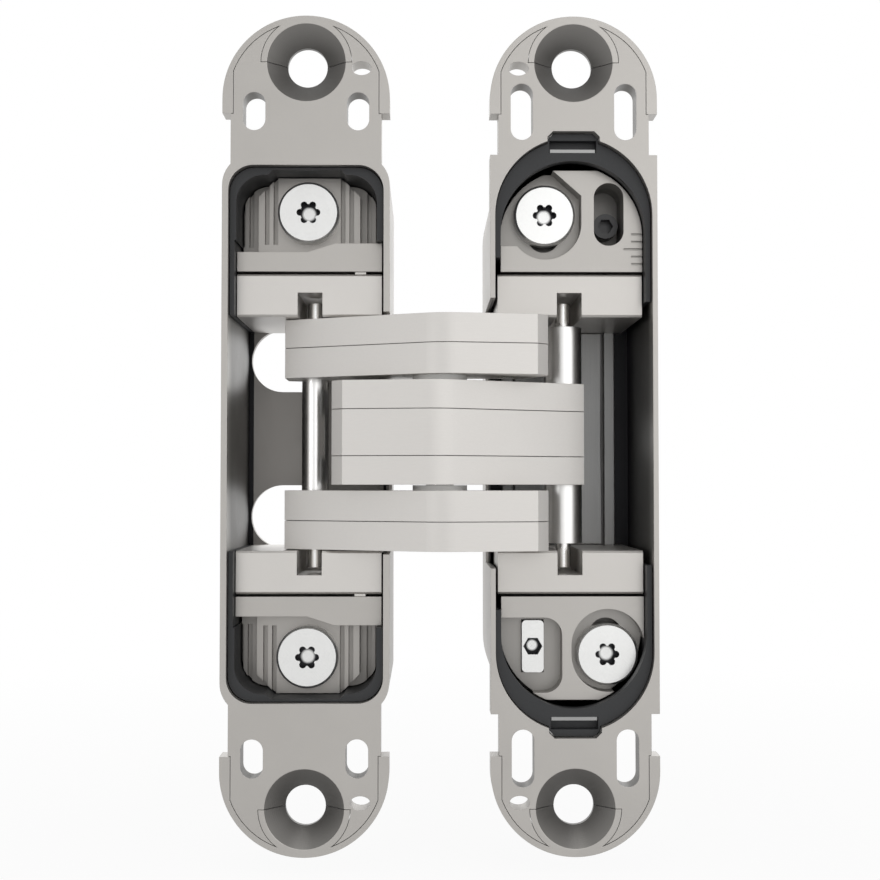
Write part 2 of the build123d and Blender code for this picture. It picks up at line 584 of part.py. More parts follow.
def main():
    os.makedirs("parts", exist_ok=True)
    save("frame_housing", on_frame(frame_housing()))
    pair("frame_cap", end_cap(FRAME_SLOT_LENGTH), on_frame)
    pair("frame_liner", frame_liner(), on_frame)
    pair("frame_carrier", frame_carrier(), on_frame)
    pair("frame_slot_block", frame_slot_block(), on_frame)
    pair("frame_screw", clamp_screw(0, FRAME_SCREW_HEIGHT), on_frame)
    save("pivot_bracket", pivot_bracket())
    save("frame_pivot_pin", rod(-PIVOT_OUT, PIVOT_DEEP, PIN_RADIUS, -MIDDLE_HALF, MIDDLE_HALF))

    core = MIDDLE_JOINT - PLATE_GAP / 2
    save("middle_arm_core", arm_plate(1, -core, core, MIDDLE_END_OUT))
    upper = arm_plate(1, MIDDLE_JOINT + PLATE_GAP / 2, MIDDLE_HALF, MIDDLE_END_OUT, lug_sweep())
    save("middle_arm_upper_plate", upper)
    save("middle_arm_lower_plate", upside(upper))
    inner = arm_plate(-1, OUTER_LOW, OUTER_JOINT - PLATE_GAP / 2, OUTER_END_OUT)
    outer = arm_plate(-1, OUTER_JOINT + PLATE_GAP / 2, OUTER_HIGH, OUTER_END_OUT)
    pair("outer_arm_inner_plate", inner, lambda shape: shape)
    pair("outer_arm_outer_plate", outer, lambda shape: shape)
    save("centre_pin", rod(0, CENTRE_DEEP, PIN_RADIUS, -OUTER_HIGH + EDGE, OUTER_HIGH - EDGE))
    washer_low = MIDDLE_HALF + SIDE_PLAY
    washer = sleeve(0, CENTRE_DEEP, WASHER_RADIUS, PIN_RADIUS + RUNNING_GAP, washer_low, OUTER_LOW)
    pair("centre_washer", washer, lambda shape: shape)
    save("frame_slide_pin", slide_pin(-SLIDE_OUT, OUTER_HIGH))
    save("door_slide_pin", slide_pin(SLIDE_OUT, ROLLER_TOP))
    roller = sleeve(SLIDE_OUT, SLIDE_DEEP, ROLLER_RADIUS, PIN_RADIUS + SEAT_GAP, MIDDLE_HALF, ROLLER_TOP)
    pair("slide_roller", roller, lambda shape: shape)

    save("door_housing", on_door(door_housing()))
    pair("door_cap", end_cap(DOOR_SLOT_LENGTH), on_door)
    save("door_collar_top", on_door(door_collar(TOP_SCREW_INWARD)))
    save("door_collar_bottom", on_door(upside(door_collar(BOTTOM_SCREW_INWARD))))
    pair("door_clip", door_clip(), on_door)
    save("door_carriage_top", on_door(top_carriage()))
    save("door_carriage_bottom", on_door(bottom_carriage()))
    save("door_slot_block_top", on_door(door_slot_block(TOP_SCREW_INWARD, adjuster_room())))
    save("door_slot_block_bottom", on_door(upside(door_slot_block(BOTTOM_SCREW_INWARD, slider_room()))))
    save("door_screw_top", on_door(clamp_screw(TOP_SCREW_INWARD, DOOR_SCREW_HEIGHT)))
    save("door_screw_bottom", on_door(clamp_screw(BOTTOM_SCREW_INWARD, -DOOR_SCREW_HEIGHT)))
    pair("door_pivot_pin", door_pivot_pin(), on_door)
    save("height_adjuster", on_door(height_adjuster()))
    save("depth_slider", on_door(depth_slider()))


if __name__ == "__main__":
    main()
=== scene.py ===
"""Dresses a concealed door hinge, shown open flat, and sets it in a plain white studio."""

import logging
import math
from dataclasses import dataclass, field
from enum import Enum

import bmesh
import bpy
import numpy as np
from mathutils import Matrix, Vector


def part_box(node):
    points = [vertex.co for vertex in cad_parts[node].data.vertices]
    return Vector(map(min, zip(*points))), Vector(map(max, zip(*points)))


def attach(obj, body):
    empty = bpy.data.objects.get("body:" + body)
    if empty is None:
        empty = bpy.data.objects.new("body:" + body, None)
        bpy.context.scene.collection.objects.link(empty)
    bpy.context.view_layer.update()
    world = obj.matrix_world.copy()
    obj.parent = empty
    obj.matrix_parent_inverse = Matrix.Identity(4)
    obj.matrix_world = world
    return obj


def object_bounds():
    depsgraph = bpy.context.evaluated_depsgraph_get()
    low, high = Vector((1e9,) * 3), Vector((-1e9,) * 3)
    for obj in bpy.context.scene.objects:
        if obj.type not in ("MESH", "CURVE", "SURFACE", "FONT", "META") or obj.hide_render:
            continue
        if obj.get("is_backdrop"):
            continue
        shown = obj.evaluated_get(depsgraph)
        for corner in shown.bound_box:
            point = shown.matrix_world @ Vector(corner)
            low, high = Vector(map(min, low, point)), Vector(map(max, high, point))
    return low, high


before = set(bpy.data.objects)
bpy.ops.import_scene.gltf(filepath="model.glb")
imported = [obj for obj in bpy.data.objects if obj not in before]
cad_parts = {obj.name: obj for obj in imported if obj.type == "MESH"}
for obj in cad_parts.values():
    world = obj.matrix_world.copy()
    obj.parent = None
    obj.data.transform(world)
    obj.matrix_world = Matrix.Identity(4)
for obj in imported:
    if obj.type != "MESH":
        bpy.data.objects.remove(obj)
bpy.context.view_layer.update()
LOG = logging.getLogger("hinge")

MM = 0.001
FULL_TURN = 2.0 * math.pi

# Places in the row frame
LEAF_GAP_X = 24.0 * MM
FACE_Y = -4.6 * MM
FRAME_X = 0.0
DOOR_X = 48.0 * MM
SEAT_Z = 66.55 * MM

# Radii that the materials round sharp edges off by
PLATE_EDGE = 0.12 * MM
TURNED_EDGE = 0.1 * MM

Colour = tuple[float, float, float]
Place = tuple[float, float, float]

NICKEL: Colour = (0.498, 0.479, 0.454)
NICKEL_SHADE: Colour = (0.410, 0.394, 0.373)
# Painted shade that a nickel casting's pocket and depth bands darken to
NICKEL_DEEP_SHADE: Colour = (0.27, 0.257, 0.243)
PALE: Colour = (0.655, 0.634, 0.606)
PALE_SHADE: Colour = (0.565, 0.546, 0.522)
DOOR_PALE: Colour = (0.595, 0.574, 0.546)
DOOR_PALE_SHADE: Colour = (0.515, 0.497, 0.474)
# Painted shade for the door pocket, the carriage bands, side walls and slots, screw seats, deep corners and
# driver sockets; the seat colour is partly bare cut metal
DOOR_DEEP_SHADE: Colour = (0.085, 0.085, 0.087)
CARRIAGE_DEEP_SHADE: Colour = (0.09, 0.088, 0.085)
PAINTED_WALL_SHADE: Colour = (0.09, 0.087, 0.083)
CUT_SEAT_AND_SHADE: Colour = (0.13, 0.126, 0.12)
PAINTED_SHADOW: Colour = (0.02, 0.02, 0.022)
ARM: Colour = (0.745, 0.722, 0.693)
ARM_SHADE: Colour = (0.655, 0.635, 0.609)
STEEL: Colour = (0.42, 0.42, 0.415)
STEEL_SHADE: Colour = (0.26, 0.26, 0.26)
DARK_STEEL: Colour = (0.05, 0.05, 0.052)
DARK_STEEL_SHADE: Colour = (0.03, 0.03, 0.032)
BRIGHT: Colour = (0.80, 0.80, 0.79)
BRIGHT_SHADE: Colour = (0.72, 0.72, 0.71)
GROUND: Colour = (0.88, 0.875, 0.865)
GROUND_SHADE: Colour = (0.79, 0.785, 0.775)
BLACK: Colour = (0.026, 0.027, 0.029)
BLACK_SHADE: Colour = (0.015, 0.016, 0.018)
WHITE: Colour = (0.93, 0.93, 0.92)
WHITE_SHADE: Colour = (0.86, 0.86, 0.85)
FLOOR_WHITE: Colour = (0.95, 0.95, 0.95)
CLEAR_WHITE: Colour = (1.0, 1.0, 1.0)


class Axis(Enum):
    """The row axis that a finish's marks run along, or that it was turned about."""

    X = 0
    Y = 1
    Z = 2


class Socket:
    """A node socket or a number that takes part in shader arithmetic."""

    def __init__(self, graph: "Graph", value: object) -> None:
        """Wraps a value.

        Args:
            graph: The graph that new Math nodes go into.
            value: An output socket or a plain number.
        """
        self.graph = graph
        self.value = value

    def _math(self, operation: str, first: object, second: object = 0.0) -> "Socket":
        """One Math node of the named operation on two values."""
        node = self.graph.node("ShaderNodeMath", {"operation": operation}, {0: first, 1: second})
        return Socket(self.graph, node.outputs[0])

    def __add__(self, other: object) -> "Socket":
        """Sum."""
        return self._math("ADD", self, other)

    def __radd__(self, other: object) -> "Socket":
        """Sum with a number on the left."""
        return self._math("ADD", other, self)

    def __sub__(self, other: object) -> "Socket":
        """Difference."""
        return self._math("SUBTRACT", self, other)

    def __rsub__(self, other: object) -> "Socket":
        """Difference from a number on the left."""
        return self._math("SUBTRACT", other, self)

    def __mul__(self, other: object) -> "Socket":
        """Product."""
        return self._math("MULTIPLY", self, other)

    def __rmul__(self, other: object) -> "Socket":
        """Product with a number on the left."""
        return self._math("MULTIPLY", other, self)

    def __truediv__(self, other: object) -> "Socket":
        """Quotient."""
        return self._math("DIVIDE", self, other)

    def sine(self) -> "Socket":
        """Sine, in radians."""
        return self._math("SINE", self)

    def root(self) -> "Socket":
        """Square root."""
        return self._math("SQRT", self)

    def size(self) -> "Socket":
        """The value without its sign."""
        return self._math("ABSOLUTE", self)

    def above(self, edge: float) -> "Socket":
        """One where the value is over the edge, else nought."""
        return self._math("GREATER_THAN", self, edge)

    def below(self, edge: float) -> "Socket":
        """One where the value is under the edge, else nought."""
        return self._math("LESS_THAN", self, edge)

    def within(self, low: float, high: float) -> "Socket":
        """One where the value lies between two edges, else nought."""
        return self.above(low) * self.below(high)

    def rise(self, start: float, end: float) -> "Socket":
        """Nought before the start, one after the end, and even between."""
        return ((self - start) / (end - start)).clamped()

    def clamped(self) -> "Socket":
        """The value held between nought and one."""
        node = self.graph.node("ShaderNodeClamp", {}, {0: self})
        return Socket(self.graph, node.outputs[0])

    def between(self, low: float, high: float) -> "Socket":
        """The value, taken as nought to one, carried onto a range."""
        return self * (high - low) + low


class Graph:
    """The node tree of a material or a world, with one way of making nodes."""

    def __init__(self, owner: bpy.types.Material | bpy.types.World) -> None:
        """Starts an empty tree.

        Args:
            owner: The material or world that the nodes belong to.
        """
        self.owner = owner
        self.owner.use_nodes = True
        self.tree = owner.node_tree
        self.tree.nodes.clear()

    def node(self, kind: str, settings: dict[str, object],
             inputs: dict[str | int, object]) -> bpy.types.Node:
        """Makes a node.

        Args:
            kind: The node's type.
            settings: Its own settings, set first; "ramp" holds a grey ramp's two stops.
            inputs: Socket name or number to a value, a socket or a wrapped socket.

        Returns:
            The new node.
        """
        made = self.tree.nodes.new(kind)
        for key, value in settings.items():
            if key == "ramp":
                self._stops(made.color_ramp, value)
            else:
                setattr(made, key, value)
        for key, value in inputs.items():
            plain = value.value if isinstance(value, Socket) else value
            if isinstance(plain, bpy.types.NodeSocket):
                self.tree.links.new(plain, made.inputs[key])
            else:
                made.inputs[key].default_value = plain
        return made

    @staticmethod
    def _stops(ramp: bpy.types.ColorRamp, stops: list[tuple[float, float]]) -> None:
        """Sets a grey ramp's stops.

        Args:
            ramp: The ramp of a new node, which has two stops.
            stops: The two stops, each a place and a level.
        """
        for element, (place, level) in zip(ramp.elements, stops):
            element.position = place
            element.color = (level, level, level, 1.0)

    def position(self) -> bpy.types.NodeSocket:
        """Object coordinates, which are the row frame's in metres."""
        return self.node("ShaderNodeTexCoord", {}, {}).outputs["Object"]

    def moved(self, shift: Place, scale: Place = (1.0, 1.0, 1.0)) -> bpy.types.NodeSocket:
        """Object coordinates from another origin.

        Args:
            shift: Where the new origin lies.
            scale: What each coordinate is multiplied by afterwards.

        Returns:
            The vector socket.
        """
        place = tuple(-start * factor for start, factor in zip(shift, scale))
        made = self.node("ShaderNodeMapping", {"vector_type": "POINT"},
                         {"Vector": self.position(), "Scale": scale, "Location": place})
        return made.outputs[0]

    def place(self, shift: Place) -> tuple[Socket, Socket, Socket]:
        """Object coordinates from a shifted origin, one by one."""
        parts = self.node("ShaderNodeSeparateXYZ", {}, {0: self.moved(shift)}).outputs
        return Socket(self, parts[0]), Socket(self, parts[1]), Socket(self, parts[2])

    def noise(self, vector: bpy.types.NodeSocket, scale: float, detail: float) -> Socket:
        """Fractal noise, nought to one."""
        made = self.node("ShaderNodeTexNoise", {}, {"Vector": vector, "Scale": scale, "Detail": detail})
        return Socket(self, made.outputs["Fac"])

    def ramp(self, value: Socket, start: float, end: float) -> Socket:
        """The value carried through a grey ramp, black at its start and white at its end."""
        made = self.node("ShaderNodeValToRGB", {"ramp": [(start, 0.0), (end, 1.0)]}, {"Fac": value})
        return Socket(self, made.outputs["Color"])

    def mix(self, factor: Socket, first: object, second: object) -> bpy.types.NodeSocket:
        """A colour between two.

        Args:
            factor: Nought for the first colour, one for the second.
            first: A plain colour or a colour socket.
            second: A plain colour or a colour socket.

        Returns:
            The mixed colour's socket.
        """
        ends = [end if isinstance(end, bpy.types.NodeSocket) else (*end, 1.0) for end in (first, second)]
        made = self.node("ShaderNodeMix", {"data_type": "RGBA"},
                         {"Factor": factor, 6: ends[0], 7: ends[1]})
        return made.outputs[2]

    def rounded(self, radius: float) -> bpy.types.NodeSocket:
        """A normal that rounds sharp edges off by a radius."""
        return self.node("ShaderNodeBevel", {"samples": 4}, {"Radius": radius}).outputs[0]

    def bump(self, height: Socket, strength: float, distance: float,
             normal: bpy.types.NodeSocket | None = None) -> bpy.types.NodeSocket:
        """A bumped normal.

        Args:
            height: The height, nought to one.
            strength: How strongly the height tells.
            distance: What a height of one measures, in metres.
            normal: The normal that the bump lies on, where it isn't the surface's own.

        Returns:
            The normal's socket.
        """
        inputs = {"Strength": strength, "Distance": distance, "Height": height}
        if normal is not None:
            inputs["Normal"] = normal
        return self.node("ShaderNodeBump", {}, inputs).outputs[0]

    def surface(self, tint: bpy.types.NodeSocket, rough: Socket, metallic: float,
                normal: bpy.types.NodeSocket) -> bpy.types.Material:
        """Closes a material's graph with a Principled shader.

        Args:
            tint: The base colour.
            rough: The roughness.
            metallic: How far the surface behaves as bare metal.
            normal: The bumped normal.

        Returns:
            The material.
        """
        shader = self.node("ShaderNodeBsdfPrincipled", {},
                           {"Base Color": tint, "Roughness": rough, "Metallic": metallic, "Normal": normal})
        self.node("ShaderNodeOutputMaterial", {}, {"Surface": shader.outputs[0]})
        return self.owner


@dataclass(frozen=True)
class Pocket:
    """The pocket in a case, as masks that paint shade over its walls, where the screw seats are also cut
    bare.

    Distances are in metres. Across and along are from the case's own middle, and depths are behind
    the leaf's face. A share is how far the colour goes over to the painted shade.
    """

    leaf_x: float
    core: tuple[float, float] = (9.4 * MM, 43.5 * MM)
    reach: float = 5.0 * MM
    gutter_x: float = 13.0 * MM
    side_x: float = 13.7 * MM
    case_back: float = 32.6 * MM
    deepens: tuple[float, float] = (2.0 * MM, 15.0 * MM)
    gutter_y: tuple[float, float] = (26.0 * MM, 31.5 * MM)
    side_y: tuple[float, float] = (0.4 * MM, 6.0 * MM)
    seat_y: tuple[float, float] = (0.06 * MM, 4.55 * MM)
    hole_radius: float = 3.6 * MM
    seat_radius: float = 7.2 * MM
    slot_x: tuple[float, float] = (7.1 * MM, 11.5 * MM)
    slot_y: tuple[float, float] = (0.25 * MM, 4.35 * MM)
    slot_z: tuple[float, float] = (52.4 * MM, 63.0 * MM)
    deep_share: float = 0.9
    seat_shares: tuple[float, float] = (0.95, 0.78)
    side_share: float = 0.75
    slot_share: float = 0.85

    def _place(self, g: Graph) -> tuple[Socket, Socket, Socket]:
        """Object coordinates from the middle of the case's face."""
        return g.place((self.leaf_x, FACE_Y, 0.0))

    def _inside(self, g: Graph) -> Socket:
        """The space up to the middle of the case's wall, which keeps the masks off its outside.

        The distance from the core box is the root of the sum of two squares: how far the place lies
        past the box's half width, and how far past its half height.

        Args:
            g: The finish's graph.

        Returns:
            One within reach of the core box and before the back of the case, else nought.
        """
        x, y, z = self._place(g)
        across = (x.size() - self.core[0]).clamped()
        along = (z.size() - self.core[1]).clamped()
        return (across * across + along * along).root().below(self.reach) * y.below(self.case_back)

    def deep(self, g: Graph) -> Socket:
        """Painted shade in the pocket, which grows with depth behind the face."""
        _, y, _ = self._place(g)
        return self._inside(g) * y.rise(*self.deepens) * self.deep_share

    def corner_shade(self, g: Graph) -> Socket:
        """Painted shadow in the deep corner between the side walls and the back of the pocket."""
        x, y, _ = self._place(g)
        return self._inside(g) * x.size().above(self.gutter_x) * y.rise(*self.gutter_y)

    def seats(self, g: Graph) -> Socket:
        """The countersunk screw seats, cut bare through the plate. Their dark colour is partly bare metal
        and partly painted shade, which deepens towards the hole.

        Args:
            g: The finish's graph.

        Returns:
            Nought beyond the seat's radius, and most at the edge of the hole.
        """
        x, y, z = self._place(g)
        off = z.size() - SEAT_Z
        around = (x * x + off * off).root()
        share = around.rise(self.hole_radius, self.seat_radius).between(*self.seat_shares)
        return around.below(self.seat_radius) * y.within(*self.seat_y) * share

    def shaded(self, g: Graph) -> Socket:
        """Painted shade on walls: the pocket's sides and the slots through the plate.

        Args:
            g: The finish's graph.

        Returns:
            A share on the pocket's sides and another in the slots through the plate, else nought.
        """
        x, y, z = self._place(g)
        side = self._inside(g) * x.size().above(self.side_x) * y.rise(*self.side_y)
        slot = x.size().within(*self.slot_x) * z.size().within(*self.slot_z) * y.within(*self.slot_y)
        return side * self.side_share + slot * self.slot_share


@dataclass(frozen=True)
class ShadeBand:
    """A stretch of depth over which painted shade darkens a casting.

    Start and end are in metres behind the leaf's face, and share is how far the colour has gone to
    the painted shade at the end.
    """

    start: float
    end: float
    share: float


@dataclass(frozen=True)
class SatinCasting:
    """Zinc casting under satin nickel: fine grain, soft mottling and faint handling marks, with painted
    shade in its pocket and over depth bands.
    """

    name: str
    colour: Colour
    shade: Colour
    roughness: float
    seed: float
    pocket: Pocket | None = None
    # The painted shade colour for the pocket's depth and the shade bands
    recess_shade: Colour = NICKEL_DEEP_SHADE
    shade_bands: tuple[ShadeBand, ...] = ()
    metallic: float = 0.85
    cloud_scale: float = 95.0
    grain_scale: float = 5200.0
    rub_scale: float = 2600.0
    rub_stretch: Place = (1.0, 1.0, 0.12)
    rub_rise: tuple[float, float] = (0.62, 0.80)
    turning_pitch: float = 0.3 * MM
    turning_height: float = 0.6
    bump_depth: float = 0.00006

    def _turned(self, g: Graph) -> Socket:
        """Turning marks in the screw seats: a sine of the depth, nought to one."""
        _, y, _ = g.place((self.pocket.leaf_x, FACE_Y, 0.0))
        return self.pocket.seats(g) * ((y * (FULL_TURN / self.turning_pitch)).sine() * 0.5 + 0.5)

    def _painted_shade(self, g: Graph, tint: bpy.types.NodeSocket) -> bpy.types.NodeSocket:
        """Paints shade into the colour in the pocket and over the shade bands; the screw seats are partly
        bare metal.

        Args:
            g: The finish's graph.
            tint: The plating's own colour.

        Returns:
            The colour's socket.
        """
        if self.pocket is not None:
            # Painted shade: darker with depth in the pocket, in the screw seats (partly bare cut metal), on
            # the side walls and slots, and in the deep corners
            tint = g.mix(self.pocket.deep(g), tint, self.recess_shade)
            tint = g.mix(self.pocket.seats(g), tint, CUT_SEAT_AND_SHADE)
            tint = g.mix(self.pocket.shaded(g), tint, PAINTED_WALL_SHADE)
            tint = g.mix(self.pocket.corner_shade(g), tint, PAINTED_SHADOW)
        # Painted shade over the depth bands
        for band in self.shade_bands:
            _, y, _ = g.place((0.0, FACE_Y, 0.0))
            tint = g.mix(y.rise(band.start, band.end) * band.share, tint, self.recess_shade)
        return tint

    def material(self) -> bpy.types.Material:
        """Makes the material: grain bump plus two scales of noise in colour and roughness, then painted
        shade.

        Returns:
            The material.
        """
        g = Graph(bpy.data.materials.new(self.name))
        place = g.moved((self.seed, self.seed, 0.0))
        cloud = g.noise(place, self.cloud_scale, 4.0)
        fine = g.noise(place, self.grain_scale, 2.0)
        streaks = g.noise(g.moved((0.0, 0.0, self.seed), self.rub_stretch), self.rub_scale, 2.0)
        rub = g.ramp(streaks, *self.rub_rise)
        tint = g.mix((cloud * 0.7 + fine * 0.3).clamped(), self.shade, self.colour)
        height = fine * 0.8 + cloud * 0.2
        if self.pocket is not None:
            height = height + self._turned(g) * self.turning_height
        rough = (self.roughness + (cloud - 0.5) * 0.16 + (fine - 0.5) * 0.10 - rub * 0.05).clamped()
        normal = g.bump(height, 0.22, self.bump_depth, g.rounded(PLATE_EDGE))
        return g.surface(self._painted_shade(g, tint), rough, self.metallic, normal)


@dataclass(frozen=True)
class GroundPlate:
    """Steel plate ground in one direction: long fine lines and a few pits."""

    name: str
    colour: Colour
    shade: Colour
    along: Axis = Axis.X
    roughness: float = 0.36
    metallic: float = 0.85
    seed: float = 0.0
    line_scale: float = 3800.0
    line_stretch: float = 0.02
    cloud_scale: float = 110.0
    pit_scale: float = 2400.0
    pit_rise: tuple[float, float] = (0.70, 0.78)
    bump_depth: float = 0.00005

    def material(self) -> bpy.types.Material:
        """Makes the material: noise drawn out along the grinding, in colour, roughness and bump.

        Returns:
            The material.
        """
        g = Graph(bpy.data.materials.new(self.name))
        stretch = tuple(self.line_stretch if axis is self.along else 1.0 for axis in Axis)
        lines = g.noise(g.moved((0.0, self.seed, self.seed), stretch), self.line_scale, 2.0)
        cloud = g.noise(g.moved((self.seed, 0.0, 0.0)), self.cloud_scale, 3.0)
        pits = g.ramp(g.noise(g.position(), self.pit_scale, 2.0), *self.pit_rise)
        tint = g.mix((lines * 0.5 + cloud * 0.5 - pits * 0.25).clamped(), self.shade, self.colour)
        rough = (self.roughness + (lines - 0.5) * 0.14 + (cloud - 0.5) * 0.12).clamped()
        normal = g.bump(lines - pits * 0.4, 0.18, self.bump_depth, g.rounded(PLATE_EDGE))
        return g.surface(tint, rough, self.metallic, normal)


@dataclass(frozen=True)
class TurnedMetal:
    """Bright metal turned about an axis: fine rings round the given centre.

    The socket is the radius of a driver socket in a screw's head, and the head is where its face
    lies. The socket's middle keeps the metal's colour, and painted shade on its wall begins between
    the two socket_rise shares of that radius.
    """

    name: str
    colour: Colour
    shade: Colour
    centre: Place
    axis: Axis
    roughness: float
    metallic: float = 1.0
    pitch: float = 0.00022
    bump_depth: float = 0.00002
    socket: float | None = None
    head: float = 0.0
    socket_y: tuple[float, float] = (0.15 * MM, 4.0 * MM)
    socket_rise: tuple[float, float] = (0.42, 0.62)
    pin_stretch: Place = (0.04, 0.04, 1.0)
    cloud_scale: float = 420.0

    def _marks(self, g: Graph) -> Socket:
        """The turning marks.

        Args:
            g: The finish's graph.

        Returns:
            On a head, a sine of the distance from the screw's axis. Along a pin, uneven bands.
        """
        x, _, z = g.place(self.centre)
        if self.axis is Axis.Y:
            return ((x * x + z * z).root() * (FULL_TURN / self.pitch)).sine() * 0.5 + 0.5
        return g.noise(g.moved(self.centre, self.pin_stretch), 1.0 / self.pitch, 2.0)

    def _socket_shade(self, g: Graph) -> Socket:
        """Painted shade on the wall of the driver socket.

        Args:
            g: The finish's graph.

        Returns:
            One on the socket's outer part, below the face of the head, and nought at its middle.
        """
        x, y, z = g.place((self.centre[0], self.head, self.centre[2]))
        reach = (x * x + z * z).root()
        wall = reach.below(self.socket) * y.within(*self.socket_y)
        start, end = (share * self.socket for share in self.socket_rise)
        return (wall * reach.rise(start, end)).clamped()

    def material(self) -> bpy.types.Material:
        """Makes the material: turned marks in colour, roughness and bump, and painted shade in a driver
        socket.

        Returns:
            The material.
        """
        g = Graph(bpy.data.materials.new(self.name))
        marks = self._marks(g)
        cloud = g.noise(g.moved(self.centre), self.cloud_scale, 3.0)
        tint = g.mix((cloud * 0.5 + marks * 0.5).clamped(), self.shade, self.colour)
        if self.socket is not None:
            # Painted shade on the driver socket's wall
            tint = g.mix(self._socket_shade(g), tint, PAINTED_SHADOW)
        rough = (self.roughness + (cloud - 0.5) * 0.06 + marks * 0.05).clamped()
        normal = g.bump(marks, 0.12, self.bump_depth, g.rounded(TURNED_EDGE))
        return g.surface(tint, rough, self.metallic, normal)


@dataclass(frozen=True)
class Moulded:
    """Moulded plastic or blackened steel: spark-eroded texture and faint flow clouds."""

    name: str
    colour: Colour
    shade: Colour
    roughness: float = 0.48
    grain_scale: float = 4200.0
    flow_scale: float = 160.0
    bump_depth: float = 0.00005

    def material(self) -> bpy.types.Material:
        """Makes the material: cell texture for the mould's grain, noise for the flow.

        Returns:
            The material.
        """
        g = Graph(bpy.data.materials.new(self.name))
        place = g.position()
        cells = g.node("ShaderNodeTexVoronoi", {"feature": "F1"},
                       {"Vector": place, "Scale": self.grain_scale})
        grain = Socket(g, cells.outputs["Distance"])
        flow = g.noise(place, self.flow_scale, 4.0)
        tint = g.mix(flow.clamped(), self.shade, self.colour)
        rough = (self.roughness + (flow - 0.5) * 0.18 + (grain - 0.4) * 0.08).clamped()
        return g.surface(tint, rough, 0.0, g.bump(grain, 0.25, self.bump_depth))


Finish = SatinCasting | GroundPlate | TurnedMetal | Moulded


def dress(node: str, finish: bpy.types.Material) -> None:
    """Gives a carried-over solid its finish.

    Args:
        node: The solid's name in the frame.
        finish: The material for all of its faces.
    """
    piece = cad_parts[node]
    piece.data.materials.clear()
    piece.data.materials.append(finish)
    piece.data.polygons.foreach_set("material_index", np.zeros(len(piece.data.polygons), np.int32))
    LOG.info("dressed %s with %s", node, finish.name)


def both(name: str) -> tuple[str, str]:
    """The names of a pair of solids above and below mid height."""
    return f"{name}_top", f"{name}_bottom"


def dress_pair(name: str, finish: Finish) -> None:
    """Gives a pair of solids one material.

    Args:
        name: The pair's name, without top and bottom.
        finish: The finish that both share.
    """
    made = finish.material()
    for node in both(name):
        dress(node, made)


def middle(node: str) -> Place:
    """The middle of a solid's box, in metres."""
    low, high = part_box(node)
    return tuple((low + high) / 2)


def screw_finish(node: str, socket: float = 2.25 * MM) -> TurnedMetal:
    """Bright zinc with rings round the screw's own axis and painted shade in the driver socket.

    Args:
        node: The screw's name in the frame.
        socket: The driver socket's outer radius, in metres.

    Returns:
        The finish.
    """
    return TurnedMetal(f"{node} bright", BRIGHT, BRIGHT_SHADE, middle(node), Axis.Y, 0.26, 0.9,
                       socket=socket, head=float(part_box(node)[0][1]))


def pin_finish(node: str, roughness: float = 0.22) -> TurnedMetal:
    """Ground steel with turned marks along the pin."""
    return TurnedMetal(f"{node} ground", GROUND, GROUND_SHADE, middle(node), Axis.Z, roughness,
                       pitch=0.00012, bump_depth=0.000004)


@dataclass
class FrameLeaf:
    """The left leaf: a deep case with end covers, black inserts, carriers and slot blocks."""

    casting: SatinCasting = SatinCasting("frame case nickel", NICKEL, NICKEL_SHADE, 0.40, 0.11,
                                         Pocket(FRAME_X))
    cover: SatinCasting = SatinCasting("frame cover nickel", NICKEL, NICKEL_SHADE, 0.36, 0.27,
                                       Pocket(FRAME_X))
    block: SatinCasting = SatinCasting("frame block nickel", PALE, PALE_SHADE, 0.40, 0.41)
    carrier: SatinCasting = SatinCasting(
        "frame carrier nickel", NICKEL, NICKEL_SHADE, 0.42, 0.53,
        # Painted shade bands: darker with depth behind the face
        shade_bands=(ShadeBand(4.6 * MM, 8.0 * MM, 0.40), ShadeBand(8.1 * MM, 9.1 * MM, 0.55),
               ShadeBand(10.4 * MM, 12.2 * MM, 0.40)))
    insert: Moulded = Moulded("frame insert black", BLACK, BLACK_SHADE)
    bracket: GroundPlate = GroundPlate("pivot bracket steel", STEEL, STEEL_SHADE, Axis.Z)

    def dress(self) -> None:
        """Finishes every solid of the leaf."""
        dress("frame_housing", self.casting.material())
        for name, finish in (("frame_cap", self.cover), ("frame_slot_block", self.block),
                             ("frame_carrier", self.carrier), ("frame_liner", self.insert)):
            dress_pair(name, finish)
        dress("pivot_bracket", self.bracket.material())
        for screw in both("frame_screw"):
            dress(screw, screw_finish(screw).material())
        dress("frame_pivot_pin", pin_finish("frame_pivot_pin").material())


@dataclass
class ArmSet:
    """The crossed arms: stacked plates, their pins, rollers and spacing washers."""

    plates: tuple[str, ...] = ("middle_arm_core", "middle_arm_upper_plate", "middle_arm_lower_plate",
                               *both("outer_arm_inner_plate"), *both("outer_arm_outer_plate"))
    pins: tuple[str, ...] = ("centre_pin", "frame_slide_pin", "door_slide_pin")
    plate_roughness: float = 0.46
    plate_metallic: float = 0.50
    seed_step: float = 0.13
    washer: Moulded = Moulded("washer white", WHITE, WHITE_SHADE, 0.5, 3000.0)

    def dress(self) -> None:
        """Finishes the plates one by one, so that no two match line for line, then the rest."""
        for index, node in enumerate(self.plates):
            finish = GroundPlate(f"{node} steel", ARM, ARM_SHADE, Axis.X, self.plate_roughness,
                                 self.plate_metallic, self.seed_step * (index + 1))
            dress(node, finish.material())
        for node in self.pins:
            dress(node, pin_finish(node).material())
        for node in both("slide_roller"):
            dress(node, pin_finish(node, 0.30).material())
        dress_pair("centre_washer", self.washer)


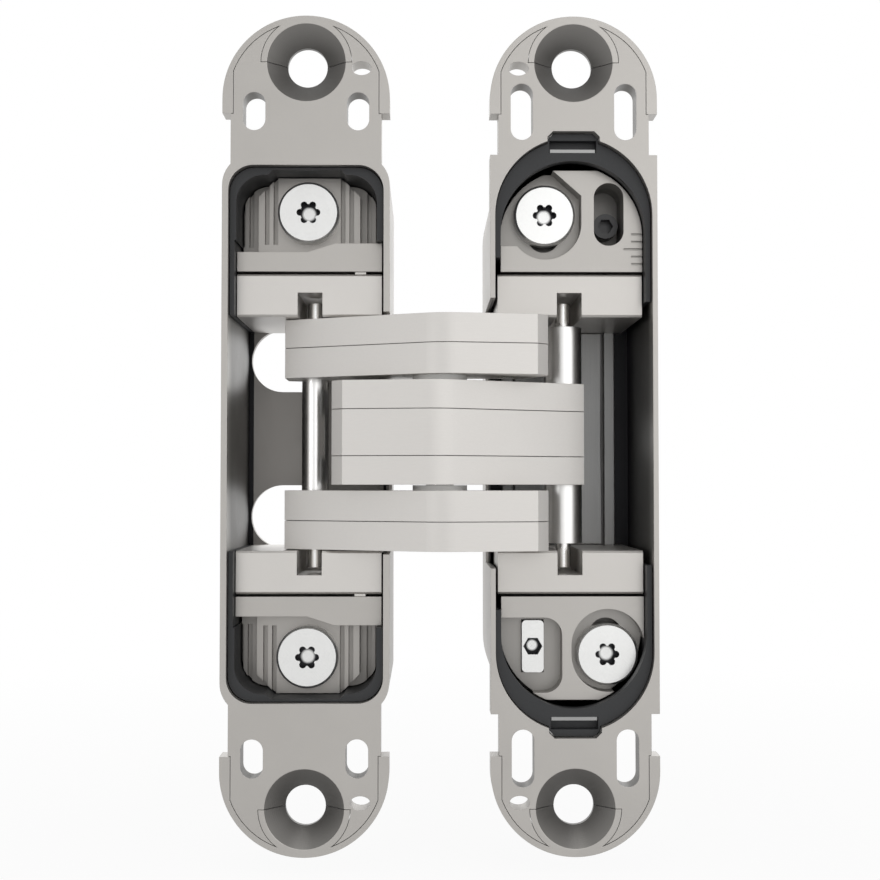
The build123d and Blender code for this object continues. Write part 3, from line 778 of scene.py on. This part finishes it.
@dataclass
class DoorLeaf:
    """The right leaf: a case with round ends that slides on the carriages inside it."""

    casting: SatinCasting = SatinCasting("door case nickel", NICKEL, NICKEL_SHADE, 0.40, 0.67,
                                         Pocket(DOOR_X, (0.0, 39.1 * MM), 14.5 * MM, 11.4 * MM), DOOR_DEEP_SHADE)
    cover: SatinCasting = SatinCasting("door cover nickel", NICKEL, NICKEL_SHADE, 0.36, 0.71,
                                       Pocket(DOOR_X))
    block: SatinCasting = SatinCasting("door block nickel", DOOR_PALE, DOOR_PALE_SHADE, 0.40, 0.83)
    carriage: SatinCasting = SatinCasting(
        "door carriage nickel", NICKEL, NICKEL_SHADE, 0.42, 0.97, recess_shade=CARRIAGE_DEEP_SHADE,
        # Painted shade bands: darker with depth behind the face
        shade_bands=(ShadeBand(4.25 * MM, 4.5 * MM, 0.25), ShadeBand(5.0 * MM, 8.0 * MM, 0.15),
               ShadeBand(8.1 * MM, 9.5 * MM, 0.65)))
    collar: Moulded = Moulded("door collar black", BLACK, BLACK_SHADE)
    clip: GroundPlate = GroundPlate("clip spring steel", STEEL, STEEL_SHADE, Axis.X)
    adjuster: Moulded = Moulded("adjuster black steel", DARK_STEEL, DARK_STEEL_SHADE, 0.35)
    slider_socket: float = 1.75 * MM

    def dress(self) -> None:
        """Finishes every solid of the leaf and its carriages."""
        dress("door_housing", self.casting.material())
        for name, finish in (("door_cap", self.cover), ("door_slot_block", self.block),
                             ("door_carriage", self.carriage), ("door_collar", self.collar),
                             ("door_clip", self.clip)):
            dress_pair(name, finish)
        for screw in both("door_screw"):
            dress(screw, screw_finish(screw).material())
        for pin in both("door_pivot_pin"):
            dress(pin, pin_finish(pin).material())
        dress("depth_slider", screw_finish("depth_slider", self.slider_socket).material())
        dress("height_adjuster", self.adjuster.material())


def loft(name: str, rings: np.ndarray, closed: bool) -> bpy.types.Object:
    """A mesh over a grid of rings, with a quad between each four neighbouring points.

    Args:
        name: The piece's name.
        rings: Points as rings by points by three, in metres; each ring is joined end to end.
        closed: Joins the last ring to the first; if not, one flat face closes each end.

    Returns:
        The new object, linked, with its faces pointing outwards.
    """
    count, size = rings.shape[:2]
    ring = np.arange(count if closed else count - 1)[:, None]
    spot = np.arange(size)[None, :]
    after, beside = (ring + 1) % count, (spot + 1) % size
    corners = (ring * size + spot, ring * size + beside, after * size + beside, after * size + spot)
    faces = np.stack(corners, axis=-1).reshape(-1, 4).tolist()
    if not closed:
        faces += [list(range(size)), list(range((count - 1) * size, count * size))]
    mesh = bpy.data.meshes.new(name)
    mesh.from_pydata(rings.reshape(-1, 3).tolist(), [], faces)
    shell = bmesh.new()
    shell.from_mesh(mesh)
    bmesh.ops.recalc_face_normals(shell, faces=shell.faces)
    shell.to_mesh(mesh)
    shell.free()
    piece = bpy.data.objects.new(name, mesh)
    bpy.context.scene.collection.objects.link(piece)
    return piece


def edge_profile(round_off: float, thick: float, steps: int) -> tuple[np.ndarray, np.ndarray]:
    """How a plate's edge runs from its front to its back.

    A quarter circle of the given radius, then the straight side: the inset is r - r sin t and the
    depth is r - r cos t as t goes from nought to a right angle.

    Args:
        round_off: The quarter circle's radius.
        thick: The plate's thickness.
        steps: How many stations the quarter circle has.

    Returns:
        The inset from the outline and the depth behind the front, for each station.
    """
    turn = np.linspace(0.0, math.pi / 2, steps)
    inset = np.append(round_off - round_off * np.sin(turn), 0.0)
    depth = np.append(round_off - round_off * np.cos(turn), thick)
    return inset, depth


@dataclass(frozen=True)
class BackPlate:
    """Steel plate between the door carriages, at the back of the pocket.

    A flat strip with a round window, and a raised rail on each side. It stands just off the case,
    as the slot blocks do.
    """

    body: str = "door_carriage"
    slot: str = "bracket"
    strip_half: float = 8.7 * MM
    rail_inner: float = 9.1 * MM
    rail_outer: float = 11.3 * MM
    strip_thick: float = 0.8 * MM
    rail_thick: float = 1.5 * MM
    window: float = 4.6 * MM
    round_off: float = 0.25 * MM
    end_gap: float = 0.02 * MM
    edge_steps: int = 5
    window_steps: int = 96
    rail_steps: int = 9
    finish: GroundPlate = GroundPlate("back plate steel", STEEL, STEEL_SHADE, Axis.Z, 0.42, 0.75, 0.31)

    def build(self) -> None:
        """Makes the strip and the rails between the slot blocks and gives them one finish."""
        low = float(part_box("door_slot_block_bottom")[1][2]) + self.end_gap
        high = float(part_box("door_slot_block_top")[0][2]) - self.end_gap
        back = float(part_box("door_slot_block_top")[1][1])
        finish = self.finish.material()
        pieces = [loft("carriage_back_strip", self._strip(low, high, back), True)]
        for name, side in (("outer", 1.0), ("inner", -1.0)):
            pieces.append(loft(f"carriage_back_rail_{name}", self._rail(side, low, high, back), False))
        for piece in pieces:
            piece.data.materials.append(finish)
            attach(piece, self.body)
            LOG.info("made %s", piece.name)

    def _strip(self, low: float, high: float, back: float) -> np.ndarray:
        """The strip as rings by direction from the window's middle.

        In each direction the window's edge lies at its radius, and the strip's edge where a ray from
        the middle leaves the rectangle: the lesser of half the width over the ray's x and half the
        height over its z. A ring runs over the front between the two and back behind.

        Args:
            low: The strip's lower end.
            high: Its upper end.
            back: How far back its back lies.

        Returns:
            Points as rings by points by three.
        """
        half, tall = self.strip_half, (high - low) / 2
        corner = math.atan2(tall, half)
        corners = [corner, math.pi - corner, math.pi + corner, -corner % (2 * math.pi)]
        turns = np.linspace(0.0, 2 * math.pi, self.window_steps, endpoint=False)
        turns = np.sort(np.append(turns, corners))
        ray = np.column_stack([np.cos(turns), np.sin(turns)])
        reach = np.min([half, tall] / np.maximum(np.abs(ray), 1e-9), axis=1)
        inset, depth = edge_profile(self.round_off, self.strip_thick, self.edge_steps)
        outer = reach[:, None] - inset[None, :]
        inner = np.broadcast_to(self.window + inset[::-1], outer.shape)
        far = np.concatenate([outer, inner], axis=1)
        deep = np.concatenate([depth, depth[::-1]]) + back - self.strip_thick
        middle_z = (high + low) / 2
        return np.stack([DOOR_X + far * ray[:, :1], np.broadcast_to(deep, far.shape),
                         middle_z + far * ray[:, 1:]], axis=-1)

    def _rail(self, side: float, low: float, high: float, back: float) -> np.ndarray:
        """A rail as rings along the height: a rectangle across, with its two front edges rounded.

        Args:
            side: One for the rail away from the other leaf, minus one for the rail towards it.
            low: The rail's lower end.
            high: Its upper end.
            back: How far back its back lies.

        Returns:
            Points as rings by points by three.
        """
        inset, depth = edge_profile(self.round_off, self.rail_thick, self.edge_steps)
        near, far = self.rail_inner, self.rail_outer
        across = np.concatenate([far - inset, (near + inset)[::-1]]) * side + DOOR_X
        deep = np.concatenate([depth, depth[::-1]]) + back - self.rail_thick
        heights = np.linspace(low, high, self.rail_steps)
        shape = (len(heights), len(across))
        return np.stack([np.broadcast_to(across, shape), np.broadcast_to(deep, shape),
                         np.broadcast_to(heights[:, None], shape)], axis=-1)


@dataclass(frozen=True)
class Lamp:
    """A square lamp: its place from the object's middle and its side in metres, its power in watts."""

    name: str
    place: Place
    side: float
    power: float

    def build(self, target: Vector) -> None:
        """Makes the lamp and aims it.

        Args:
            target: The object's middle.
        """
        away = Vector(self.place)
        light = bpy.data.lights.new(self.name, "AREA")
        light.shape = "SQUARE"
        light.size = self.side
        light.energy = self.power
        lamp = bpy.data.objects.new(self.name, light)
        lamp.location = target + away
        lamp.rotation_mode = "QUATERNION"
        lamp.rotation_quaternion = (-away).to_track_quat("-Z", "Y")
        bpy.context.scene.collection.objects.link(lamp)


@dataclass
class Studio:
    """White floor and world, soft lamps and the camera at the photograph's angle."""

    centre: Vector = field(default_factory=lambda: Vector((LEAF_GAP_X, FACE_Y, -1.3 * MM)))
    eye: Vector = field(default_factory=lambda: Vector((21.3 * MM, FACE_Y - 250.0 * MM, -9.4 * MM)))
    lens: float = 57.45
    clip: tuple[float, float] = (0.01, 20.0)
    floor_side: float = 4.0
    floor_drop: float = 3.0 * MM
    whitens: tuple[float, float] = (0.08, 0.30)
    near_white: float = 0.92
    world_light: float = 0.50
    lamps: tuple[Lamp, ...] = (
        Lamp("key", (0.44, -0.62, 0.00), 0.95, 2.0),
        Lamp("fill", (-0.42, -0.60, 0.03), 0.16, 0.20),
        Lamp("top", (0.02, -0.20, 0.68), 0.40, 0.35),
        Lamp("back", (0.10, 0.70, 0.35), 0.70, 0.9),
    )

    def build(self) -> None:
        """Makes the floor, the world, the lamps and the camera."""
        self._floor()
        self._world()
        for lamp in self.lamps:
            lamp.build(self.centre)
            LOG.info("lit by %s", lamp.name)
        self._camera()
        bpy.context.scene.view_settings.view_transform = "Standard"

    def _floor(self) -> None:
        """Makes a flat square under the object, low enough for the door leaf at its lowest setting.

        Where it is seen it is mostly plain white, and wholly so away from the object. It catches
        light and shadow as a matt white.
        """
        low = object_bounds()[0]
        half = self.floor_side / 2
        corner = np.array([[-1, -1], [1, -1], [1, 1], [-1, 1]], float) * half
        points = np.column_stack([corner, np.full(4, low.z - self.floor_drop)])
        mesh = bpy.data.meshes.new("floor")
        mesh.from_pydata(points.tolist(), [], [(0, 1, 2, 3)])
        piece = bpy.data.objects.new("floor", mesh)
        bpy.context.scene.collection.objects.link(piece)
        piece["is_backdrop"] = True
        g = Graph(bpy.data.materials.new("floor white"))
        matt = g.node("ShaderNodeBsdfDiffuse", {}, {"Color": (*FLOOR_WHITE, 1.0)})
        glow = g.node("ShaderNodeEmission", {}, {"Color": (*CLEAR_WHITE, 1.0), "Strength": 1.0})
        x, y, _ = g.place(tuple(self.centre))
        far = (x * x + y * y).root().rise(*self.whitens)
        share = self._seen(g) * far.between(self.near_white, 1.0)
        mixed = g.node("ShaderNodeMixShader", {}, {0: share, 1: matt.outputs[0], 2: glow.outputs[0]})
        g.node("ShaderNodeOutputMaterial", {}, {"Surface": mixed.outputs[0]})
        mesh.materials.append(g.owner)

    @staticmethod
    def _seen(g: Graph) -> Socket:
        """The rays that show the background.

        Args:
            g: The floor's or the world's graph.

        Returns:
            One for camera, glossy and transmission rays, else nought.
        """
        path = g.node("ShaderNodeLightPath", {}, {})
        camera, glossy, through = (Socket(g, path.outputs[name]) for name in
                                   ("Is Camera Ray", "Is Glossy Ray", "Is Transmission Ray"))
        return (camera + glossy + through).clamped()

    def _world(self) -> None:
        """Makes a world that is white where it is seen, and dimmer where it only lights."""
        world = bpy.data.worlds.new("studio")
        bpy.context.scene.world = world
        g = Graph(world)
        strength = self._seen(g).between(self.world_light, 1.0)
        glow = g.node("ShaderNodeBackground", {}, {"Color": (*CLEAR_WHITE, 1.0), "Strength": strength})
        g.node("ShaderNodeOutputWorld", {}, {"Surface": glow.outputs[0]})

    def _camera(self) -> None:
        """Makes a camera at the photograph's eye, aimed at the middle of its frame."""
        data = bpy.data.cameras.new("camera")
        data.lens = self.lens
        data.clip_start, data.clip_end = self.clip
        camera = bpy.data.objects.new("camera", data)
        camera.location = self.eye
        camera.rotation_mode = "QUATERNION"
        camera.rotation_quaternion = (self.centre - self.eye).to_track_quat("-Z", "Y")
        bpy.context.scene.collection.objects.link(camera)
        bpy.context.scene.camera = camera


def main() -> None:
    """Dresses the sub-assemblies in order, then sets up the studio."""
    logging.basicConfig(level=logging.INFO, format="%(name)s: %(message)s")
    FrameLeaf().dress()
    ArmSet().dress()
    DoorLeaf().dress()
    BackPlate().build()
    Studio().build()


if __name__ == "__main__":
    main()
